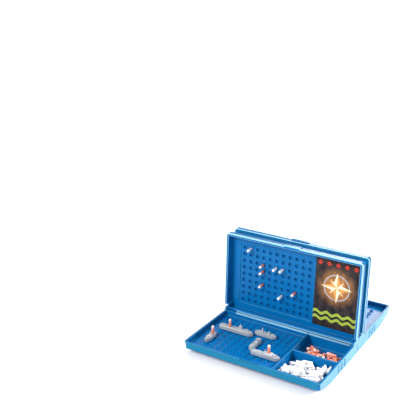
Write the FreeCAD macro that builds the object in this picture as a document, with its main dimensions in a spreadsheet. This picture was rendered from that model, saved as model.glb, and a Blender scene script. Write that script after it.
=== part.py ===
import FreeCAD, Part
import math
import os
import re
import Sketcher
from FreeCAD import Placement, Rotation, Vector

# A pair of fleet guessing cases, standing back to back with their lids up.
# X runs along the hinges, +Y from the front player to the rear player, +Z up.
# The origin lies on the table, midway between the two cases.

doc = FreeCAD.newDocument("fleet_cases")

# Driving sizes in millimetres, and counts.
# Distances named back or front are measured from the plane between the cases.
SIZES = {
    # case shell
    "case_width": 240.0,
    "case_front": 157.6,
    "case_back": 0.3,
    "rim_height": 22.0,
    "rim_lip": 1.4,
    "rim_deep": 3.0,
    "wall": 2.0,
    "corner_radius": 5.0,
    "front_lift": 12.0,
    "keel_run": 45.0,
    "floor_wall": 1.6,
    "divider_gap": 9.8,
    "divider_wall": 3.0,
    "cross_back": 84.0,
    "cross_wall": 3.0,
    "tray_floor": 2.0,
    "keel_wall": 2.5,
    "deck_run": 5.0,
    "deck_wall": 2.0,
    "grip_back": 82.0,
    "grip_pitch": 12.5,
    "grip_count": 3,
    "grip_wide": 2.4,
    "grip_proud": 1.1,
    "grip_low": 3.0,
    "grip_high": 16.5,
    # hinge
    "cheek_wall": 4.0,
    "cheek_rise": 6.0,
    "cheek_round": 4.5,
    "cheek_play": 1.0,
    "hinge_back": 17.0,
    "barrel_radius": 2.7,
    "barrel_play": 0.3,
    "pin_radius": 1.5,
    "pin_play": 0.1,
    "pin_skin": 0.9,
    "tongue_play": 0.4,
    # lid
    "lid_back": 1.6,
    "lid_setback": 2.6,
    "band_lip": 2.6,
    "band_deep": 11.0,
    "foot_play": 4.0,
    "panel_wall": 2.4,
    "field_recess": 1.0,
    "field_margin": 7.2,
    "tab_width": 29.4,
    "tab_rise": 1.6,
    "tab_deep": 10.0,
    "latch_play": 0.8,
    "latch_deep": 1.2,
    "latch_drop": 5.0,
    # shot grid, the same in base and lid
    "pitch": 12.2,
    "columns": 11,
    "rows": 9,
    "grid_left": 94.3,
    "grid_back": 34.5,
    "hole_wide": 4.1,
    # printed card beside the target grid
    "card_gap": 3.0,
    "card_edge": 1.8,
    "card_foot": 0.8,
    "card_wall": 0.4,
    # pegs
    "peg_radius": 2.25,
    "peg_head": 14.0,
    "tail_radius": 1.85,
    "tail_long": 2.4,
    # ships
    "stand_off": 2.0,
    "stud_wide": 3.8,
    "stud_long": 3.4,
    "hull_tall": 5.6,
    "hull_flare": 5.0,
    "socket_deep": 2.8,
    "carrier_beam": 10.6,
    "battleship_beam": 9.6,
    "cruiser_beam": 8.6,
    "submarine_beam": 8.6,
    "patrol_beam": 8.6,
    "turret_radius": 3.6,
    "turret_tall": 3.2,
    "bridge_tall": 4.6,
}

sheet = doc.addObject("Spreadsheet::Sheet", "Sizes")
for line, (alias, amount) in enumerate(SIZES.items(), 1):
    sheet.set("A%d" % line, alias)
    sheet.set("B%d" % line, str(amount))
    sheet.setAlias("B%d" % line, alias)
doc.recompute()


def size(alias):
    """The value that the sheet holds for one size."""
    return float(getattr(sheet, alias))


def tie(item, path, text):
    """Bind one property to an expression written with the sizes' own names."""
    def point_at_sheet(word):
        return "Sizes." + word.group() if word.group() in SIZES else word.group()
    item.setExpression(path, re.sub(r"[a-z_]+", point_at_sheet, text))


def worked_out(text):
    """The number that an expression of sizes comes to, read from a spare cell."""
    spare = "D%d" % (1 + len(worked_out.cells))
    if text not in worked_out.cells:
        worked_out.cells[text] = spare
        sheet.set(spare, "=" + text)
        sheet.recompute()
    return float(sheet.get(worked_out.cells[text]))


worked_out.cells = {}


# Sketches and features

def new_body(name):
    body = doc.addObject("PartDesign::Body", name)
    body.Label = name
    return body


def new_sketch(body, name, plane, offset):
    """A sketch on an origin plane of its body, moved along that plane's normal."""
    sketch = body.newObject("Sketcher::SketchObject", body.Name + "_" + name)
    origin = [item for item in body.Origin.OriginFeatures if item.Role == plane + "_Plane"]
    sketch.AttachmentSupport = (origin[0], [""])
    sketch.MapMode = "FlatFace"
    tie(sketch, "AttachmentOffset.Base.z", offset)
    return sketch


def pin_down(sketch, kind, parts, text):
    """Add one dimension and bind it to its expression."""
    row = sketch.addConstraint(Sketcher.Constraint(kind, *parts))
    tie(sketch, "Constraints[%d]" % row, text)


def outline(body, name, plane, offset, corners):
    """A closed straight-sided sketch; each corner is a pair of expressions."""
    sketch = new_sketch(body, name, plane, offset)
    count = len(corners)
    turn = 2 * math.pi / count
    ring = [Vector(50 * math.cos(turn * i), 50 * math.sin(turn * i), 0) for i in range(count)]
    for i in range(count):
        sketch.addGeometry(Part.LineSegment(ring[i], ring[(i + 1) % count]), False)
    for i in range(count):
        sketch.addConstraint(Sketcher.Constraint("Coincident", i, 2, (i + 1) % count, 1))
    for i, (across, up) in enumerate(corners):
        pin_down(sketch, "DistanceX", (-1, 1, i, 1, ring[i].x), across)
        pin_down(sketch, "DistanceY", (-1, 1, i, 1, ring[i].y), up)
    return sketch


def rectangle(body, name, plane, offset, left, right, low, high):
    corners = [(left, low), (right, low), (right, high), (left, high)]
    return outline(body, name, plane, offset, corners)


def disc(body, name, plane, offset, across, up, radius):
    """A sketch with one circle."""
    sketch = new_sketch(body, name, plane, offset)
    sketch.addGeometry(Part.Circle(Vector(5, 5, 0), Vector(0, 0, 1), 5), False)
    pin_down(sketch, "DistanceX", (-1, 1, 0, 3, 5.0), across)
    pin_down(sketch, "DistanceY", (-1, 1, 0, 3, 5.0), up)
    pin_down(sketch, "Radius", (0, 5.0), radius)
    return sketch


def square(body, name, plane, offset, across, up, wide):
    """A sketch with one square about its middle."""
    left = "%s - %s / 2" % (across, wide)
    low = "%s - %s / 2" % (up, wide)
    return rectangle(body, name, plane, offset, left, left + " + " + wide, low, low + " + " + wide)


def octagon(body, name, plane, offset, across, radius):
    """A sketch with one eight-sided ring on the sketch's own X."""
    corners = []
    for step in range(8):
        turn = math.radians(45 * step + 22.5)
        corners.append((
            "%s + %s * %.6f" % (across, radius, math.cos(turn)),
            "%s * %.6f" % (radius, math.sin(turn))))
    return outline(body, name, plane, offset, corners)


def feature(kind, body, sketch, length, both_ways, backwards):
    made = body.newObject("PartDesign::" + kind, sketch.Name + "_" + kind.lower())
    made.Profile = sketch
    tie(made, "Length", length)
    if both_ways:
        made.SideType = "Symmetric"
    made.Reversed = backwards
    return made


def pad(body, sketch, length, both_ways=False, backwards=False):
    return feature("Pad", body, sketch, length, both_ways, backwards)


def pocket(body, sketch, length, both_ways=False, backwards=False):
    return feature("Pocket", body, sketch, length, both_ways, backwards)


def repeat(body, made, sketch, spacing, count, rows=None):
    """A row of copies along the sketch's own X, and rows of that row along its Y."""
    pattern = body.newObject("PartDesign::LinearPattern", made.Name + "_row")
    pattern.Originals = [made]
    pattern.Direction = (sketch, ["H_Axis"])
    tie(pattern, "Length", "%s * (%s - 1)" % (spacing, count))
    tie(pattern, "Occurrences", count)
    if rows:
        pattern.Direction2 = (sketch, ["V_Axis"])
        tie(pattern, "Length2", "%s * (%s - 1)" % (spacing, rows))
        tie(pattern, "Occurrences2", rows)
    body.Tip = pattern
    return pattern


def round_edges(body, name, radius, chosen):
    """Fillet the edges of the body so far that the test picks."""
    doc.recompute()
    last = body.Tip
    edges = ["Edge%d" % n for n, edge in enumerate(last.Shape.Edges, 1) if chosen(edge)]
    fillet = body.newObject("PartDesign::Fillet", body.Name + "_" + name)
    fillet.Base = (last, edges)
    tie(fillet, "Radius", radius)


def runs_along(edge, axis):
    """True for a straight edge parallel to the axis."""
    ends = [vertex.Point for vertex in edge.Vertexes]
    return len(ends) == 2 and abs(abs((ends[1] - ends[0]).normalize().dot(axis)) - 1) < 1e-6


def is_near(amount, target):
    return abs(amount - target) < 0.01


# Case base
# One moulding, open below: the grid floor, two peg trays and the hinge deck
# hang inside a skirt whose underside rises towards the player.

base = new_body("front_base")
WALL_FRONT = "(case_front - rim_lip)"
WALL_SIDE = "(case_width / 2 - rim_lip)"
INSIDE_FRONT = "(case_front - rim_lip - wall)"
INSIDE_SIDE = "(case_width / 2 - rim_lip - wall)"
GRID_RIGHT = "((columns - 1) * pitch - grid_left)"
DIVIDER_LEFT = "(%s + divider_gap)" % GRID_RIGHT
TRAY_LEFT = "(%s + divider_wall)" % DIVIDER_LEFT
FLOOR = "(front_lift + floor_wall)"
DECK_BACK = "(hinge_back + deck_run)"
HINGE_HEIGHT = "(rim_height + barrel_play + barrel_radius)"
LID_FOOT = "(rim_height + cheek_rise + foot_play)"
CHEEK_BACK = "(hinge_back + %s - %s - cheek_play)" % (LID_FOOT, HINGE_HEIGHT)

silhouette = outline(base, "side", "YZ", "0", [
    ("-" + WALL_FRONT, "front_lift"),
    ("-(case_front - keel_run)", "0"),
    ("-case_back", "0"),
    ("-case_back", "rim_height"),
    ("-" + WALL_FRONT, "rim_height")])
pad(base, silhouette, "2 * " + WALL_SIDE, both_ways=True)

rim = rectangle(base, "rim", "XY", "rim_height - rim_deep",
                "-case_width / 2", "case_width / 2", "-case_front", "-case_back")
pad(base, rim, "rim_deep")

grip = rectangle(base, "grip", "YZ", "0", "-grip_back", "-(grip_back - grip_wide)",
                 "grip_low", "grip_high")
grip_pad = pad(base, grip, "2 * (%s + grip_proud)" % WALL_SIDE, both_ways=True)
repeat(base, grip_pad, grip, "grip_pitch", "grip_count")

cheek = rectangle(base, "cheek", "YZ", "0", "-" + CHEEK_BACK, "-case_back",
                  "rim_height - rim_deep", "rim_height + cheek_rise")
pad(base, cheek, "case_width", both_ways=True)


def is_cheek_nose(edge):
    middle = edge.CenterOfMass
    return (runs_along(edge, Vector(1, 0, 0)) and is_near(middle.y, -worked_out(CHEEK_BACK))
            and is_near(middle.z, size("rim_height") + size("cheek_rise")))


round_edges(base, "cheek_nose", "cheek_round", is_cheek_nose)


def is_front_corner(edge):
    middle = edge.CenterOfMass
    return (runs_along(edge, Vector(0, 0, 1)) and middle.y < -size("case_front") + 2 * size("rim_lip")
            and abs(middle.x) > size("case_width") / 2 - 2 * size("rim_lip"))


round_edges(base, "corners", "corner_radius", is_front_corner)

between_cheeks = rectangle(base, "between_cheeks", "YZ", "0", "-(%s + wall)" % CHEEK_BACK, "0",
                           "rim_height", "rim_height + 2 * cheek_rise")
pocket(base, between_cheeks, "case_width - 2 * cheek_wall", both_ways=True)

pin_socket = disc(base, "pin_socket", "YZ", "0", "-hinge_back", HINGE_HEIGHT,
                  "pin_radius + pin_play")
pocket(base, pin_socket, "case_width - 2 * pin_skin", both_ways=True)

well = rectangle(base, "well", "XY", "rim_height", "-" + INSIDE_SIDE, DIVIDER_LEFT,
                 "-" + INSIDE_FRONT, "-" + DECK_BACK)
pocket(base, well, "rim_height - " + FLOOR)

front_tray = outline(base, "front_tray", "YZ", TRAY_LEFT, [
    ("-" + INSIDE_FRONT, "rim_height + rim_deep"),
    ("-" + INSIDE_FRONT, "front_lift + keel_wall"),
    ("-(case_front - keel_run)", "tray_floor"),
    ("-(cross_back + cross_wall / 2)", "tray_floor"),
    ("-(cross_back + cross_wall / 2)", "rim_height + rim_deep")])
pocket(base, front_tray, INSIDE_SIDE + " - " + TRAY_LEFT, backwards=True)

rear_tray = rectangle(base, "rear_tray", "XY", "rim_height", TRAY_LEFT, INSIDE_SIDE,
                      "-(cross_back - cross_wall / 2)", "-" + DECK_BACK)
pocket(base, rear_tray, "rim_height - tray_floor")

under_floor = rectangle(base, "under_floor", "XY", "0", "-" + INSIDE_SIDE, TRAY_LEFT + " - wall",
                        "-case_front", "-" + DECK_BACK)
pocket(base, under_floor, "front_lift", backwards=True)

under_deck = rectangle(base, "under_deck", "XY", "0", "-" + INSIDE_SIDE, INSIDE_SIDE,
                       "-(%s - wall)" % DECK_BACK, "-(case_back + wall)")
pocket(base, under_deck, "rim_height - deck_wall", backwards=True)

latch_seat = rectangle(base, "latch_seat", "XZ", "case_front",
                       "-(tab_width / 2 + latch_play)", "tab_width / 2 + latch_play",
                       "rim_height - latch_drop", "rim_height + rim_deep")
pocket(base, latch_seat, "latch_deep")

sea_hole = square(base, "sea_hole", "XY", FLOOR, "-grid_left", "-(grid_back + (rows - 1) * pitch)",
                  "hole_wide")
sea_hole_cut = pocket(base, sea_hole, "floor_wall + wall")
repeat(base, sea_hole_cut, sea_hole, "pitch", "columns", "rows")

# Case lid
# A shallow tray that stands on the hinge deck, with a stout band round its
# open side; its lower rim is the hinge barrel, turning on two stub pins.

lid = new_body("front_lid")
LID_RIM = "(hinge_back + barrel_radius)"
LID_TOP = "(%s + case_front - hinge_back - lid_setback)" % HINGE_HEIGHT
TONGUE = "(case_width / 2 - cheek_wall - tongue_play)"
LID_LOW = "(rim_height + barrel_play)"

shell = outline(lid, "shell", "XZ", "lid_back", [
    ("-" + TONGUE, LID_LOW),
    (TONGUE, LID_LOW),
    (TONGUE, LID_FOOT),
    (WALL_SIDE, LID_FOOT),
    (WALL_SIDE, LID_TOP + " - rim_lip"),
    ("-" + WALL_SIDE, LID_TOP + " - rim_lip"),
    ("-" + WALL_SIDE, LID_FOOT),
    ("-" + TONGUE, LID_FOOT)])
pad(lid, shell, LID_RIM + " - lid_back")

LID_CREST = "(%s + band_lip)" % LID_TOP
band = rectangle(lid, "band", "XZ", LID_RIM + " - band_deep", "-(case_width / 2 + band_lip)",
                 "case_width / 2 + band_lip", LID_FOOT, LID_CREST)
pad(lid, band, "band_deep")


def is_top_corner(edge):
    middle = edge.CenterOfMass
    return (runs_along(edge, Vector(0, 1, 0)) and middle.z > worked_out(LID_TOP) - 2 * size("rim_lip")
            and abs(middle.x) > size("case_width") / 2 - 2 * size("rim_lip"))


def is_barrel_corner(edge):
    middle = edge.CenterOfMass
    return (runs_along(edge, Vector(1, 0, 0)) and is_near(middle.y, -worked_out(LID_RIM))
            and is_near(middle.z, worked_out(LID_LOW)))


round_edges(lid, "corners", "corner_radius", is_top_corner)
round_edges(lid, "barrel_corner", "barrel_radius", is_barrel_corner)

hollow = outline(lid, "hollow", "XZ", LID_RIM, [
    ("-(%s - wall)" % TONGUE, LID_LOW + " + wall"),
    ("%s - wall" % TONGUE, LID_LOW + " + wall"),
    ("%s - wall" % TONGUE, LID_FOOT + " + wall"),
    ("%s - wall" % WALL_SIDE, LID_FOOT + " + wall"),
    ("%s - wall" % WALL_SIDE, LID_TOP + " - rim_lip - wall"),
    ("-(%s - wall)" % WALL_SIDE, LID_TOP + " - rim_lip - wall"),
    ("-(%s - wall)" % WALL_SIDE, LID_FOOT + " + wall"),
    ("-(%s - wall)" % TONGUE, LID_FOOT + " + wall")])
pocket(lid, hollow, LID_RIM + " - lid_back - panel_wall")

tab = rectangle(lid, "tab", "XZ", LID_RIM + " - tab_deep", "-tab_width / 2", "tab_width / 2",
                LID_TOP + " - rim_lip - wall / 2", LID_CREST + " + tab_rise")
pad(lid, tab, "tab_deep")

barrel = disc(lid, "barrel", "YZ", "0", "-hinge_back", HINGE_HEIGHT, "barrel_radius")
pad(lid, barrel, "2 * " + TONGUE, both_ways=True)

hinge_pin = disc(lid, "hinge_pin", "YZ", "0", "-hinge_back", HINGE_HEIGHT, "pin_radius")
pad(lid, hinge_pin, "case_width - 2 * (pin_skin + tongue_play)", both_ways=True)

# Shut, the lid lays each target hole over the sea hole of the same column.
TARGET_LOW = "(%s + grid_back - hinge_back)" % HINGE_HEIGHT
field = rectangle(lid, "field", "XZ", "lid_back + panel_wall",
                  "-(grid_left + field_margin)", GRID_RIGHT + " + field_margin",
                  TARGET_LOW + " - field_margin", TARGET_LOW + " + (rows - 1) * pitch + field_margin")
pocket(lid, field, "field_recess")

target_hole = square(lid, "target_hole", "XZ", "lid_back + panel_wall", "-grid_left", TARGET_LOW,
                     "hole_wide")
target_hole_cut = pocket(lid, target_hole, "panel_wall + wall")
repeat(lid, target_hole_cut, target_hole, "pitch", "columns", "rows")

# Printed card
# A thin sheet glued to the lid panel beside the target grid.

card = doc.addObject("Part::Box", "front_dash_card")
CARD_LEFT = "(%s + field_margin + card_gap)" % GRID_RIGHT
CARD_LOW = "(%s + card_foot)" % LID_FOOT
tie(card, "Length", "%s - card_edge - %s" % (INSIDE_SIDE, CARD_LEFT))
tie(card, "Width", "card_wall")
tie(card, "Height", "%s - rim_lip - wall - card_gap - %s" % (LID_TOP, CARD_LOW))
tie(card, "Placement.Base.x", CARD_LEFT)
tie(card, "Placement.Base.y", "-(lid_back + panel_wall + card_wall)")
tie(card, "Placement.Base.z", CARD_LOW)

# Ships
# Each hull stands on studs that plug into the sea holes, one to a cell;
# a socket in the deck over each stud takes a hit peg.

DECK = "(stand_off + hull_tall)"
ALONG_X = Rotation(Vector(0, 0, 1), 0)
TOWARDS_PLAYER = Rotation(Vector(0, 0, 1), -90)


def place_ship(ship, column, row, heading):
    """Stand the first stud of a ship in a cell; rows count from the hinge."""
    ship.Placement = Placement(Vector(0, 0, 0), heading)
    tie(ship, "Placement.Base.x", "%d * pitch - grid_left" % (column - 1))
    tie(ship, "Placement.Base.y", "-(grid_back + %d * pitch)" % (row - 1))
    tie(ship, "Placement.Base.z", FLOOR)


def stand_on_studs(ship, cells):
    """A row of studs that wedge in the sea holes and hold the hull clear of the floor."""
    stud = square(ship, "stud", "XY", "stand_off", "0", "0", "stud_wide")
    repeat(ship, pad(ship, stud, "stand_off + stud_long", backwards=True), stud, "pitch", str(cells))


def sink_sockets(ship, cells, height):
    socket = square(ship, "socket", "XY", height, "0", "0", "hole_wide")
    repeat(ship, pocket(ship, socket, "socket_deep"), socket, "pitch", str(cells))


def flared_hull(ship, cells, beam, stern, bow):
    """A hull with a square stern and a pointed bow, wider at the deck than below."""
    half = beam + " / 2"
    far = "%d * pitch" % (cells - 1)
    plan = outline(ship, "hull", "XY", "stand_off", [
        ("-" + stern, "-%s * 0.6" % half),
        ("-%s * 0.6" % stern, "-" + half),
        (far, "-" + half),
        ("%s + %s * 0.6" % (far, bow), "-%s * 0.55" % half),
        ("%s + %s" % (far, bow), "0"),
        ("%s + %s * 0.6" % (far, bow), "%s * 0.55" % half),
        (far, half),
        ("-%s * 0.6" % stern, half),
        ("-" + stern, "%s * 0.6" % half)])
    hull = pad(ship, plan, "hull_tall")
    tie(hull, "TaperAngle", "hull_flare")


def house(ship, name, left, right, low, high, tall):
    """A block of upperworks on the deck."""
    plan = rectangle(ship, name, "XY", DECK, left, right, low, high)
    pad(ship, plan, tall)


carrier = new_body("front_carrier")
stand_on_studs(carrier, 5)
flared_hull(carrier, 5, "carrier_beam", "pitch * 0.52", "pitch * 0.56")
house(carrier, "island", "pitch * 2.25", "pitch * 2.75", "carrier_beam * 0.2", "carrier_beam * 0.5",
      "bridge_tall")
house(carrier, "lift", "pitch * 3.25", "pitch * 3.75", "carrier_beam * 0.14", "carrier_beam * 0.5",
      "bridge_tall * 0.4")
sink_sockets(carrier, 5, DECK)
place_ship(carrier, 1, 4, ALONG_X)

battleship = new_body("front_battleship")
stand_on_studs(battleship, 4)
flared_hull(battleship, 4, "battleship_beam", "pitch * 0.5", "pitch * 0.62")
turret = octagon(battleship, "turret", "XY", DECK, "2 * pitch", "turret_radius")
pad(battleship, turret, "turret_tall")
house(battleship, "bridge", "pitch * 1.3", "pitch * 1.62", "-battleship_beam * 0.3",
      "battleship_beam * 0.3", "bridge_tall * 0.7")
sink_sockets(battleship, 4, DECK)
turret_socket = square(battleship, "turret_socket", "XY", DECK + " + turret_tall", "2 * pitch", "0",
                       "hole_wide")
pocket(battleship, turret_socket, "turret_tall + hull_tall / 2")
place_ship(battleship, 8, 8, ALONG_X)

cruiser = new_body("front_cruiser")
stand_on_studs(cruiser, 3)
flared_hull(cruiser, 3, "cruiser_beam", "pitch * 0.5", "pitch * 0.58")
house(cruiser, "bridge", "pitch * 0.3", "pitch * 0.7", "-cruiser_beam * 0.32", "cruiser_beam * 0.32",
      "bridge_tall * 0.6")
house(cruiser, "mast", "pitch * 0.42", "pitch * 0.62", "-cruiser_beam * 0.14", "cruiser_beam * 0.14",
      "bridge_tall * 1.4")
house(cruiser, "funnel", "pitch * 1.36", "pitch * 1.64", "-cruiser_beam * 0.2", "cruiser_beam * 0.2",
      "bridge_tall * 0.7")
sink_sockets(cruiser, 3, DECK)
place_ship(cruiser, 6, 3, ALONG_X)

patrol = new_body("front_patrol_boat")
stand_on_studs(patrol, 2)
flared_hull(patrol, 2, "patrol_beam", "pitch * 0.66", "pitch * 1.06")
house(patrol, "bridge", "pitch * 0.34", "pitch * 0.66", "-patrol_beam * 0.3", "patrol_beam * 0.3",
      "bridge_tall * 0.55")
house(patrol, "gun", "pitch * 1.35", "pitch * 1.62", "-patrol_beam * 0.16", "patrol_beam * 0.16",
      "bridge_tall * 0.35")
sink_sockets(patrol, 2, DECK)
BOAT_COLUMN = 1
place_ship(patrol, BOAT_COLUMN, 7, TOWARDS_PLAYER)

# The submarine's hull is pointed at both ends and narrows towards its deck.
submarine = new_body("front_submarine")
stand_on_studs(submarine, 3)
SUB_HALF = "submarine_beam / 2"
sub_plan = outline(submarine, "hull", "XY", "stand_off", [
    ("-pitch * 0.47", "-submarine_beam * 0.22"),
    ("-pitch * 0.22", "-" + SUB_HALF),
    ("pitch * 2.22", "-" + SUB_HALF),
    ("pitch * 2.47", "-submarine_beam * 0.22"),
    ("pitch * 2.47", "submarine_beam * 0.22"),
    ("pitch * 2.22", SUB_HALF),
    ("-pitch * 0.22", SUB_HALF),
    ("-pitch * 0.47", "submarine_beam * 0.22")])
sub_hull = pad(submarine, sub_plan, "hull_tall")
tie(sub_hull, "TaperAngle", "-1.6 * hull_flare")
tower = octagon(submarine, "tower", "XY", DECK, "pitch * 0.5", "submarine_beam * 0.3")
pad(submarine, tower, "bridge_tall * 0.6")
sink_sockets(submarine, 3, DECK)
place_ship(submarine, 7, 5, TOWARDS_PLAYER)

# Pegs
# A head that stays in view and a thinner tail that goes into the hole.

def six_sided(radius, low, high):
    """An upright six-sided bar about the Z axis, between two heights."""
    corners = []
    for side in range(7):
        turn = math.radians(60 * side + 30)
        corners.append(Vector(radius * math.cos(turn), radius * math.sin(turn), low))
    return Part.Face(Part.makePolygon(corners)).extrude(Vector(0, 0, high - low))


def standing_peg():
    """One peg, standing on the shoulder above its tail."""
    head = six_sided(size("peg_radius"), 0, size("peg_head"))
    tail = six_sided(size("tail_radius"), -size("tail_long"), 0)
    return head.fuse(tail).removeSplitter()


def lying_peg():
    """One peg for the trays, lying on a flat along X about its middle."""
    half = (size("peg_head") + size("tail_long")) / 2
    peg = six_sided(size("peg_radius"), -half, half)
    peg.Placement = Placement(Vector(0, 0, 0), Rotation(Vector(0, 1, 0), 90))
    return peg


def peg_group(name, peg, placements):
    """Like pegs share one node, each its own solid."""
    group = doc.addObject("Part::Feature", name)
    solids = []
    for placement in placements:
        solid = peg.copy()
        solid.Placement = placement.multiply(peg.Placement)
        solids.append(solid)
    group.Shape = Part.makeCompound(solids)
    return group


def cell_x(column):
    return (column - 1) * size("pitch") - size("grid_left")


def cell_y(row):
    return -(size("grid_back") + (row - 1) * size("pitch"))


def in_lid(column, row):
    """A peg in the standing lid; rows count from the top."""
    height = worked_out(TARGET_LOW) + (size("rows") - row) * size("pitch")
    face = size("lid_back") + size("panel_wall") - size("field_recess")
    return Placement(Vector(cell_x(column), -face, height), Rotation(Vector(1, 0, 0), 90))


def on_ships(name, boat_column):
    """A hit on the patrol boat, one on the carrier and one on the battleship's turret."""
    deck_height = worked_out(FLOOR) + worked_out(DECK)
    spots = [(boat_column, 7, 0.0), (2, 4, 0.0), (10, 8, size("turret_tall"))]
    return peg_group(name, standing_peg(), [
        Placement(Vector(cell_x(column), cell_y(row), deck_height + lift), Rotation())
        for column, row, lift in spots])


ship_pegs = on_ships("front_ship_pegs", BOAT_COLUMN)
miss_pegs = peg_group("front_miss_pegs", standing_peg(), [
    in_lid(column, row) for column, row in ((2, 1), (6, 3), (7, 3), (7, 7))])
hit_pegs = peg_group("front_hit_pegs", standing_peg(), [
    in_lid(column, row) for column, row in ((4, 3), (4, 4), (4, 6), (9, 6))])

# Spare pegs in the trays
# A first layer lies across each tray, and a few pegs lie over it the other way.

PEG_PLAY = 0.1
PEG_SPREAD = 6.5
TRAY_COLUMNS = 3
SWING = (5.0, -6.0, 2.0, -3.0, 6.5, -1.0, 3.5)
tray_left = worked_out(TRAY_LEFT)
tray_right = worked_out(INSIDE_SIDE)
tray_middle = (tray_left + tray_right) / 2
half_thick = size("peg_radius") * math.cos(math.radians(30))
side_step = (tray_right - tray_left - 2 * size("wall")) / TRAY_COLUMNS
row_step = 2 * size("peg_radius") + PEG_SPREAD
keel_break = size("case_front") - size("keel_run")
inside_front = worked_out(INSIDE_FRONT)
slope = math.atan2(worked_out("front_lift + keel_wall - tray_floor"), inside_front - keel_break)


def tray_layers(first_row, rows, tilt, height, covers):
    """Pegs lying on a tray floor that starts at first_row and rises by tilt to the front."""
    floor = Placement(Vector(tray_middle, -first_row, height), Rotation(Vector(1, 0, 0), -math.degrees(tilt)))
    middle_column = (TRAY_COLUMNS - 1) / 2
    spots = []
    for row in range(rows):
        for column in range(TRAY_COLUMNS):
            spots.append((column, row + 0.5, half_thick + PEG_PLAY, SWING[(3 * row + 2 * column) % len(SWING)]))
    for cover, (column, row) in enumerate(covers):
        spots.append((column, row, 3 * half_thick + 2 * PEG_PLAY, 90 + 2 * SWING[cover % len(SWING)]))
    placements = []
    for column, row, above, swing in spots:
        spot = Vector((column - middle_column) * side_step, -row * row_step, above)
        placements.append(floor.multiply(Placement(spot, Rotation(Vector(0, 0, 1), swing))))
    return placements


slope_rows = int((inside_front - keel_break) / math.cos(slope) / row_step)
flat_start = size("cross_back") + size("cross_wall") / 2
white_spares = tray_layers(keel_break, slope_rows, slope, size("tray_floor"), [(0.1, 2), (1.2, 1), (1.8, 2)])
white_spares += tray_layers(flat_start, int((keel_break - flat_start) / row_step), 0.0, size("tray_floor"),
                            [(0.4, 1), (1.7, 1)])
white_tray_pegs = peg_group("front_white_tray_pegs", lying_peg(), white_spares)
rear_start = worked_out(DECK_BACK)
rear_rows = int((size("cross_back") - size("cross_wall") / 2 - rear_start) / row_step)
red_spares = tray_layers(rear_start, rear_rows, 0.0, size("tray_floor"), [(0.2, 4), (1.0, 3), (1.9, 4)])
red_tray_pegs = peg_group("front_red_tray_pegs", lying_peg(), red_spares)

# The second case is the same set of mouldings, turned half round. Its player
# has the patrol boat, and the peg in it, two columns further in.

front_pieces = [base, lid, card, carrier, battleship, cruiser, submarine, patrol, ship_pegs, miss_pegs,
                hit_pegs, white_tray_pegs, red_tray_pegs]
HALF_TURN = Placement(Vector(0, 0, 0), Rotation(Vector(0, 0, 1), 180))
REAR_BOAT_COLUMN = 3
boat_step = Placement(Vector((REAR_BOAT_COLUMN - BOAT_COLUMN) * size("pitch"), 0, 0), Rotation())
rear_hits = on_ships("rear_hits", REAR_BOAT_COLUMN)
rear_pieces = []
for piece in front_pieces:
    twin = doc.addObject("Part::Compound", piece.Label.replace("front_", "rear_"))
    twin.Links = [rear_hits if piece is ship_pegs else piece]
    twin.Placement = HALF_TURN.multiply(boat_step) if piece is patrol else HALF_TURN
    rear_pieces.append(twin)
doc.recompute()

# Every feature has to be sound before anything is written.
for item in doc.Objects:
    if "Invalid" in item.State or "Error" in item.State:
        raise RuntimeError(item.Name + " failed: " + ", ".join(item.State))
os.makedirs("parts", exist_ok=True)
for piece in front_pieces + rear_pieces:
    shape = piece.Shape
    if shape.isNull() or not shape.isValid():
        raise RuntimeError(piece.Label + " has no valid shape")
    shape.exportStep("parts/%s.step" % piece.Label)
    print(piece.Label, len(shape.Solids), "solids", round(shape.Volume), "mm3")
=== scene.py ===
import math
import random

import bmesh
import bpy
from mathutils import Matrix, Vector


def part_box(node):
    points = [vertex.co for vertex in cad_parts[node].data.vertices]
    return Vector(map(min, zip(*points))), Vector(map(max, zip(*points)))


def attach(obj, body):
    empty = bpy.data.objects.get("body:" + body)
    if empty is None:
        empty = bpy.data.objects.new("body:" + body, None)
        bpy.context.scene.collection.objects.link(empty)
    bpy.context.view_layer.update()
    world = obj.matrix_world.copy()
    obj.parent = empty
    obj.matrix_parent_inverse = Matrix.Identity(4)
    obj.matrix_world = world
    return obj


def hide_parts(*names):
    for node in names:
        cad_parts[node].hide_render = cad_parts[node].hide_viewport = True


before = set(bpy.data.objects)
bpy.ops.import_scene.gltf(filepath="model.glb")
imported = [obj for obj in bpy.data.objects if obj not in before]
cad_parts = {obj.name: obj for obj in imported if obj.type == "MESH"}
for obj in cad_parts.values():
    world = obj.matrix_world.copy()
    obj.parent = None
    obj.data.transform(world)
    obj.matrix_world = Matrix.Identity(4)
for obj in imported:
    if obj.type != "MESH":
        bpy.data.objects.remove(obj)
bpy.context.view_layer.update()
MM = 0.001

# Case bases
# A base is one injection moulding of glossy blue polystyrene: rim, skirt, grid
# floor, two peg trays and the hinge deck, with a bead along the deck's front. It
# has a fine grain and faint scuffs, and its edges leave the tool a little rounded.


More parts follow.
